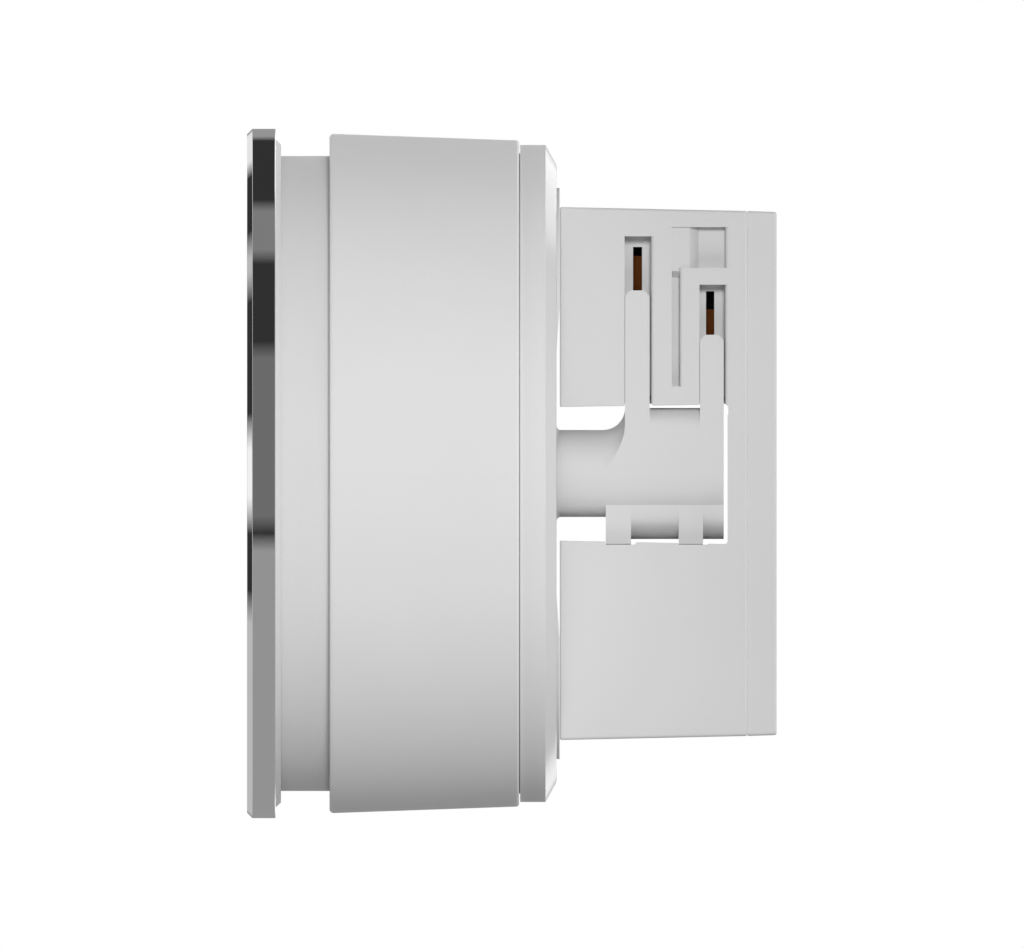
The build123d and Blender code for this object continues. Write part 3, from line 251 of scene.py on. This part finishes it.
def metal(name, tone, rough_low, rough_high, depth=0.000002, stained=0.86):
    s = Shader(name)
    marks = s.noise(900.0, 4.0)
    stain = s.noise(120.0, 3.0)
    dark = tuple(c * stained for c in tone[:3])
    colour = s.ramp(stain, (0.35, dark), (0.6, tone[:3]))
    return s.set(
        Base_Color=colour,
        Metallic=1.0,
        Roughness=s.between(marks, rough_low, rough_high),
        Normal=s.bump(marks, depth),
    )


def smoked_glass():
    s = Shader("smoked_glass")
    smear = s.noise(60.0, 4.0)
    return s.set(
        Base_Color=(0.06, 0.062, 0.066, 1.0),
        Roughness=s.between(smear, 0.02, 0.06),
        Transmission_Weight=1.0,
        IOR=1.5,
    )


def glow(name, tone, strength):
    s = Shader(name)
    cells = s.noise(3000.0, 1.0)
    return s.set(
        Base_Color=s.ramp(cells, (0.3, tuple(c * 0.9 for c in tone)), (0.7, tone)),
        Emission_Color=(*tone, 1.0),
        Emission_Strength=strength,
        Roughness=0.4,
    )


materials = {
    # The last number given to each white sets how dark its painted crease shade gets; the adapter's flag
    # turns on its painted recess shade, hollow shadow and parting-line highlight.
    "white_shell": white_plastic(
        "white_shell", (0.735, 0.735, 0.735), 2600.0, 0.00002, (0.42, 0.54, 0.12), (-1.9, -1.7), 0.86
    ),
    "adapter_white": white_plastic(
        "adapter_white", (0.615, 0.615, 0.615), 3200.0, 0.000008, (0.36, 0.46, 0.3), (22.0, 23.0), 0.96, True
    ),
    "shaft_white": white_plastic(
        "shaft_white", (0.62, 0.62, 0.62), 3200.0, 0.000008, (0.36, 0.46, 0.3), (22.0, 23.0), 0.95
    ),
    "polished_rim": metal("polished_rim", (0.97, 0.97, 0.97), 0.02, 0.055, stained=0.975),
    "smoked_glass": smoked_glass(),
    "black_foam": moulded("black_foam", (0.012, 0.012, 0.012), 5000.0, 0.00005, 0.8, 0.95),
    "display_black": moulded("display_black", (0.006, 0.006, 0.007), 2000.0, 0.000002, 0.25, 0.3),
    "diffuser": moulded("diffuser", (0.32, 0.32, 0.33), 1500.0, 0.00001, 0.4, 0.5),
    "led_chip": moulded("led_chip", (0.75, 0.62, 0.2), 1500.0, 0.00001, 0.3, 0.5),
    "circuit_board": moulded("circuit_board", (0.012, 0.10, 0.045), 400.0, 0.00002, 0.3, 0.42),
    "steel": metal("steel", (0.62, 0.62, 0.63), 0.22, 0.42),
    "spring_wire": metal("spring_wire", (0.45, 0.45, 0.46), 0.25, 0.4),
    "slide_plastic": moulded("slide_plastic", (0.55, 0.53, 0.46), 1200.0, 0.00001, 0.35, 0.5),
    "gear_plastic": moulded("gear_plastic", (0.66, 0.66, 0.63), 1200.0, 0.00001, 0.35, 0.5),
    "chassis_plastic": moulded("chassis_plastic", (0.10, 0.10, 0.105), 1800.0, 0.00002, 0.45, 0.6),
    "black_plastic": moulded("black_plastic", (0.018, 0.018, 0.018), 1800.0, 0.00002, 0.35, 0.5),
    "blue_case": moulded("blue_case", (0.03, 0.10, 0.34), 1800.0, 0.00001, 0.3, 0.42),
    "can_metal": metal("can_metal", (0.7, 0.7, 0.7), 0.18, 0.32),
    "terminal_green": moulded("terminal_green", (0.03, 0.23, 0.10), 1800.0, 0.00001, 0.35, 0.48),
    "wire_skin": moulded("wire_skin", (0.35, 0.05, 0.03), 1500.0, 0.00001, 0.4, 0.5),
    "copper": metal("copper", (0.27, 0.085, 0.022), 0.3, 0.5),
    "flex_film": moulded("flex_film", (0.42, 0.17, 0.03), 900.0, 0.000005, 0.25, 0.4),
}

for name, node in nodes.items():
    for slot in node.material_slots:
        slot.material = materials["shaft_white" if name == "lock_shaft" else slot.material.name.split(".")[0]]


# ---- shapes ----

SEGMENTS = 288
FLAT_BESIDE_CORNER = 0.03


def add_piece(name, mesh, material, body):
    piece = bpy.data.objects.new(name, mesh)
    mesh.materials.append(material)
    bpy.context.scene.collection.objects.link(piece)
    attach(piece, body)
    return piece


def mesh_from(name, corners, faces, smooth_angle=None):
    """Mesh from corners in millimetres; edges flatter than smooth_angle are shaded smooth."""
    mesh = bpy.data.meshes.new(name)
    mesh.from_pydata([[c * MM for c in corner] for corner in corners], [], faces)
    bm = bmesh.new()
    bm.from_mesh(mesh)
    bmesh.ops.recalc_face_normals(bm, faces=bm.faces)
    bm.to_mesh(mesh)
    bm.free()
    if smooth_angle is not None:
        mesh.shade_smooth()
        mesh.set_sharp_from_angle(angle=math.radians(smooth_angle))
    return mesh


def together(plates):
    corners, faces = [], []
    for plate_corners, plate_faces in plates:
        start = len(corners)
        corners += plate_corners
        faces += [tuple(start + k for k in face) for face in plate_faces]
    return corners, faces


def rounded_outline(corners, radii, steps=4):
    """Closed outline whose corners are replaced by arcs, with a point on the flat on each side of an arc."""
    points = []
    count = len(corners)
    for i, corner in enumerate(corners):
        here = Vector(corner)
        to_last = (Vector(corners[i - 1]) - here).normalized()
        to_next = (Vector(corners[(i + 1) % count]) - here).normalized()
        if radii[i] == 0:
            points.append(tuple(here))
            continue
        half = to_last.angle(to_next) / 2
        reach = radii[i] / math.tan(half)
        centre = here + (to_last + to_next).normalized() * (radii[i] / math.sin(half))
        points.append(tuple(here + to_last * (reach + FLAT_BESIDE_CORNER)))
        start = here + to_last * reach - centre
        turn = start.angle_signed(here + to_next * reach - centre)
        for k in range(steps + 1):
            spoke = start.copy()
            spoke.rotate(Matrix.Rotation(-turn * k / steps, 2))
            points.append(tuple(centre + spoke))
        points.append(tuple(here + to_next * (reach + FLAT_BESIDE_CORNER)))
    return points


def turned(name, outline, smooth_angle):
    """Ring turned about the Y axis from its closed outline of (radius, y)."""
    count = len(outline)
    corners, faces = [], []
    for i in range(SEGMENTS):
        a = 2 * math.pi * i / SEGMENTS
        corners += [(r * math.cos(a), y, r * math.sin(a)) for r, y in outline]
    for i in range(SEGMENTS):
        here, there = i * count, (i + 1) % SEGMENTS * count
        for k in range(count):
            after = (k + 1) % count
            faces.append((here + k, here + after, there + after, there + k))
    return mesh_from(name, corners, faces, smooth_angle)


# ---- head: the polished bezel ----

bezel_low, bezel_high = (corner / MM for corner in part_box("bezel_ring"))
RIM_R = min(-bezel_low.x, bezel_high.x, -bezel_low.z, bezel_high.z)
RIM_FRONT = bezel_low.y
RIM_BACK = bezel_high.y
RIM_CHAMFER = 0.65
GLASS_SEAT_R = 37.55
GLASS_SEAT_DEPTH = 1.47
LEDGE_R = 35.8

bezel = add_piece(
    "polished_bezel",
    turned(
        "polished_bezel",
        rounded_outline(
            (
                (GLASS_SEAT_R, RIM_FRONT),
                (RIM_R - RIM_CHAMFER, RIM_FRONT),
                (RIM_R, RIM_FRONT + RIM_CHAMFER),
                (RIM_R, RIM_BACK),
                (LEDGE_R, RIM_BACK),
                (LEDGE_R, RIM_FRONT + GLASS_SEAT_DEPTH),
                (GLASS_SEAT_R, RIM_FRONT + GLASS_SEAT_DEPTH),
            ),
            (0.08, 0.07, 0.09, 0.08, 0.05, 0.05, 0),
        ),
        60,
    ),
    materials["polished_rim"],
    "head",
)
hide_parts("bezel_ring")


# ---- head: the springs round its posts ----

SPRING_FRONT, SPRING_BACK = (corner.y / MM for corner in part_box("return_springs"))
POST_CIRCLE_R = 28.5
POST_ANGLES = (90, 210, 330)
SPRING_COIL_R = 3.15
SPRING_WIRE_R = 0.28
SPRING_TURNS = 5
END_TURN_RISE = 0.6
STEPS_PER_TURN = 32
WIRE_SIDES = 10


def coil_height(turn):
    """Height of the wire's middle: one closed turn at each end, and open turns between."""
    free = SPRING_BACK - SPRING_FRONT - 2 * SPRING_WIRE_R
    pitch = (free - 2 * END_TURN_RISE) / (SPRING_TURNS - 2)
    if turn < 1:
        return END_TURN_RISE * turn
    if turn > SPRING_TURNS - 1:
        return free - END_TURN_RISE * (SPRING_TURNS - turn)
    return END_TURN_RISE + pitch * (turn - 1)


def coil(x, z):
    corners, faces = [], []
    rings = SPRING_TURNS * STEPS_PER_TURN + 1
    for i in range(rings):
        turn = i / STEPS_PER_TURN
        a = 2 * math.pi * turn
        y = SPRING_FRONT + SPRING_WIRE_R + coil_height(turn)
        for k in range(WIRE_SIDES):
            b = 2 * math.pi * k / WIRE_SIDES
            r = SPRING_COIL_R + SPRING_WIRE_R * math.cos(b)
            corners.append((x + r * math.cos(a), y + SPRING_WIRE_R * math.sin(b), z + r * math.sin(a)))
    for i in range(rings - 1):
        for k in range(WIRE_SIDES):
            here, beside = i * WIRE_SIDES + k, i * WIRE_SIDES + (k + 1) % WIRE_SIDES
            faces.append((here, beside, beside + WIRE_SIDES, here + WIRE_SIDES))
    faces.append(tuple(range(WIRE_SIDES)))
    faces.append(tuple(reversed(range((rings - 1) * WIRE_SIDES, rings * WIRE_SIDES))))
    return corners, faces


def post_place(angle):
    return POST_CIRCLE_R * math.cos(math.radians(angle)), POST_CIRCLE_R * math.sin(math.radians(angle))


coils = together([coil(*post_place(angle)) for angle in POST_ANGLES])
springs = add_piece(
    "compression_springs",
    mesh_from("compression_springs", *coils, 50),
    materials["spring_wire"],
    "base",
)
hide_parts("return_springs")
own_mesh(springs)


# ---- head: what the display shows ----

MARK_GAP = 0.012
DIAL_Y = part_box("display_panel")[0].y / MM - MARK_GAP
MARK_THICK = 0.01
DIAL_START = 225.0
DIAL_SWEEP = 270.0
DIAL_STEPS = 60
DIAL_SET = 33
TICK_OUTER_R = 27.4
TICK_LENGTH = 2.4
LONG_TICK_LENGTH = 3.6
TICK_HALF_WIDTH = 0.16
SET_TICK_HALF_WIDTH = 0.42
LONG_TICK_EVERY = 10
DIAL_LINE_R = (28.0, 28.15)
DIAL_LINE_STEPS = 180
DROP_STEPS = 24


def slab(outline):
    """Thin closed plate in front of the display from its (x, z) outline."""
    count = len(outline)
    corners = [(x, DIAL_Y, z) for x, z in outline] + [(x, DIAL_Y + MARK_THICK, z) for x, z in outline]
    faces = [tuple(range(count)), tuple(reversed(range(count, 2 * count)))]
    faces += [(k, k + count, (k + 1) % count + count, (k + 1) % count) for k in range(count)]
    return corners, faces


def tick(step, length, half_width):
    angle = math.radians(DIAL_START - DIAL_SWEEP * step / DIAL_STEPS)
    along = Vector((math.cos(angle), math.sin(angle)))
    across = Vector((-along.y, along.x)) * half_width
    inner, outer = along * (TICK_OUTER_R - length), along * TICK_OUTER_R
    return slab([tuple(v) for v in (inner - across, outer - across, outer + across, inner + across)])


def tick_length(step):
    return LONG_TICK_LENGTH if step % LONG_TICK_EVERY == 0 else TICK_LENGTH


def arc_plate(inner_r, outer_r, start, end, steps):
    angles = [math.radians(start + (end - start) * k / steps) for k in range(steps + 1)]
    outline = [(outer_r * math.cos(a), outer_r * math.sin(a)) for a in angles]
    outline += [(inner_r * math.cos(a), inner_r * math.sin(a)) for a in reversed(angles)]
    return slab(outline)


def drop_outline(x, z, size):
    """Outline of a water drop for the humidity reading."""
    outline = [(x, z + 1.7 * size)]
    for k in range(DROP_STEPS + 1):
        a = math.radians(35 - 250 * k / DROP_STEPS)
        outline.append((x + size * math.cos(a), z + size * math.sin(a)))
    return outline


def digits(name, text, height, x, z):
    """Numerals as a mesh, centred on (x, z) and as thick as the other marks."""
    curve = bpy.data.curves.new(name, "FONT")
    curve.body = text
    curve.align_x = "CENTER"
    curve.align_y = "CENTER"
    curve.size = height * MM
    curve.extrude = MARK_THICK * MM / 2
    curve.resolution_u = 6
    helper = bpy.data.objects.new(name + "_curve", curve)
    mesh = bpy.data.meshes.new_from_object(helper)
    bpy.data.objects.remove(helper)
    bpy.data.curves.remove(curve)
    mesh.materials.clear()
    turn = Matrix.Rotation(math.radians(90), 4, "X")
    middle = Vector((x, DIAL_Y + MARK_THICK / 2, z)) * MM
    mesh.transform(Matrix.Translation(middle) @ turn)
    bm = bmesh.new()
    bm.from_mesh(mesh)
    bmesh.ops.remove_doubles(bm, verts=bm.verts, dist=1e-7)
    bm.to_mesh(mesh)
    bm.free()
    return mesh


lit_white = glow("lit_white", (0.86, 0.9, 0.95), 9.0)
lit_amber = glow("lit_amber", (1.0, 0.36, 0.06), 12.0)
lit_dim = glow("lit_dim", (0.3, 0.34, 0.4), 4.5)

warm = [tick(k, tick_length(k), TICK_HALF_WIDTH) for k in range(DIAL_SET)]
warm.append(tick(DIAL_SET, LONG_TICK_LENGTH + 1.0, SET_TICK_HALF_WIDTH))
cool = [tick(k, tick_length(k), TICK_HALF_WIDTH) for k in range(DIAL_SET + 1, DIAL_STEPS + 1)]
cool.append(arc_plate(*DIAL_LINE_R, DIAL_START - DIAL_SWEEP, DIAL_START, DIAL_LINE_STEPS))
add_piece("dial_ticks_set", mesh_from("dial_ticks_set", *together(warm)), lit_amber, "head")
add_piece("dial_ticks_idle", mesh_from("dial_ticks_idle", *together(cool)), lit_dim, "head")
add_piece("dial_reading", digits("dial_reading", "21.5", 17.0, 0.0, 1.5), lit_white, "head")
add_piece("dial_unit", digits("dial_unit", "°C", 5.0, 0.0, 13.0), lit_white, "head")
add_piece("dial_humidity", digits("dial_humidity", "45 %", 4.6, 1.6, -12.5), lit_dim, "head")
drop = slab(drop_outline(-6.0, -12.8, 1.15))
add_piece("dial_drop", mesh_from("dial_drop", *drop), lit_dim, "head")


# ---- floor, light and camera ----

VIEW_WIDTH = 124.75 * MM
VIEW_Y = -5.79 * MM
VIEW_Z = -0.06 * MM
FLOOR_HALF_SIZE = 1.5


def make_floor():
    mesh = bpy.data.meshes.new("floor")
    bm = bmesh.new()
    bmesh.ops.create_grid(bm, x_segments=1, y_segments=1, size=FLOOR_HALF_SIZE)
    bm.to_mesh(mesh)
    bm.free()
    floor = bpy.data.objects.new("floor", mesh)
    floor.location = (0.0, 0.0, cad_low.z - 0.02 * MM)
    bpy.context.scene.collection.objects.link(floor)
    s = Shader("pale_floor")
    tone = s.ramp(s.noise(6.0), (0.3, (0.80, 0.80, 0.80)), (0.7, (0.83, 0.83, 0.83)))
    mesh.materials.append(
        s.set(Base_Color=tone, Roughness=0.9, Emission_Color=(1.0, 1.0, 1.0, 1.0), Emission_Strength=0.34)
    )
    floor.visible_diffuse = False
    floor.visible_glossy = False
    floor.visible_transmission = False
    floor.visible_shadow = False


make_floor()


def sun(name, direction, level, spread):
    """Distant soft light. Level is what a white surface that faces it gives back."""
    data = bpy.data.lights.new(name, "SUN")
    data.energy = level * math.pi
    data.angle = math.radians(spread)
    lamp = bpy.data.objects.new(name, data)
    lamp.rotation_euler = Vector(direction).to_track_quat("Z", "Y").to_euler()
    lamp.visible_glossy = False
    bpy.context.scene.collection.objects.link(lamp)


sun("key", (1.0, 0.06, 0.26), 0.69, 12)
sun("top", (0.15, 0.1, 1.0), 0.11, 40)
sun("low", (0.62, 0.05, -0.78), 0.24, 30)
sun("front", (0.1, -1.0, 0.05), 0.46, 40)
sun("rear", (0.1, 1.0, 0.05), 0.42, 40)
sun("far_side", (-1.0, 0.0, 0.3), 0.66, 40)


class Sky(Shader):
    def __init__(self):
        world = bpy.data.worlds.new("studio")
        world.use_nodes = True
        bpy.context.scene.world = world
        self.tree = world.node_tree
        self.surface = self.tree.nodes["Background"]
        self.place = self.node("ShaderNodeTexCoord").outputs["Generated"]


# The room that the polished parts mirror, dark but for its panels: (from, to, brightness), in degrees.
# The first panels stand round the turning axis, from the camera's level up over the object.
DARK = 0.03
PANEL_EDGE = 6
ROUND_THE_AXIS = (
    (-200, -20, 0.3),  # pale sweep under the object
    (-20, 45, 0.15),  # wall behind the camera
    (75, 105, 0.2),  # soft box overhead
    (150, 200, 0.3),  # wall behind the object
)
# The second panels go from the floor up the front of the room.
UP_THE_FRONT = (
    (-110, -20, 0.5),  # sweep
    (-10, 10, 0.9),  # soft box at the object's height
    (30, 45, 0.5),  # second soft box
    (60, 110, 0.8),  # ceiling
)
# Behind the object stands one wall, with a brighter panel on the far side of a slanted edge.
BACK_WALL = 0.4
BACK_PANEL = 1.5
BACK_PANEL_SLANT = 0.45


def room(s, degrees, panels):
    seen = grey(DARK)
    for start, end, level in panels:
        seen = s.blend(inside(s, degrees, start, end, PANEL_EDGE, 1.0), seen, grey(level))
    return seen


def studio():
    s = Sky()
    x, y, z = s.axes()
    degree = 180 / math.pi
    side = room(s, s.math("MULTIPLY", s.math("ARCTAN2", z, x), degree), ROUND_THE_AXIS)
    inclination = s.math("MULTIPLY", s.math("ARCCOSINE", s.math("MULTIPLY", y, -1.0)), degree)
    front = room(s, s.math("MULTIPLY", inclination, s.math("SIGN", z)), UP_THE_FRONT)
    panel_edge = s.math("SUBTRACT", y, s.math("MULTIPLY", z, BACK_PANEL_SLANT))
    far_side = s.share(x, -0.3, -0.4)
    panel = s.share(panel_edge, 0.50, 0.46)
    back = s.blend(s.math("MULTIPLY", far_side, panel), grey(BACK_WALL), grey(BACK_PANEL))
    is_front = s.share(y, -0.08, -0.15)
    is_back = s.share(y, 0.08, 0.2)
    mirrored = s.blend(is_back, s.blend(is_front, side, front), back)
    soft = s.ramp(s.math("MULTIPLY_ADD", z, 0.5, 0.5), (0.0, (0.05,) * 3), (1.0, (0.07,) * 3))
    path = s.node("ShaderNodeLightPath")
    seen = s.blend(path.outputs["Is Glossy Ray"], soft, mirrored)
    seen = s.blend(path.outputs["Is Camera Ray"], seen, grey(1.0))
    s.tree.links.new(seen, s.surface.inputs["Color"])


studio()

camera_data = bpy.data.cameras.new("camera")
camera_data.type = "ORTHO"
camera_data.ortho_scale = VIEW_WIDTH
camera = bpy.data.objects.new("camera", camera_data)
camera.location = (0.5, VIEW_Y, VIEW_Z)
camera.rotation_euler = (math.radians(90), 0.0, math.radians(90))
bpy.context.scene.collection.objects.link(camera)
bpy.context.scene.camera = camera
bpy.context.scene.view_settings.view_transform = "Standard"
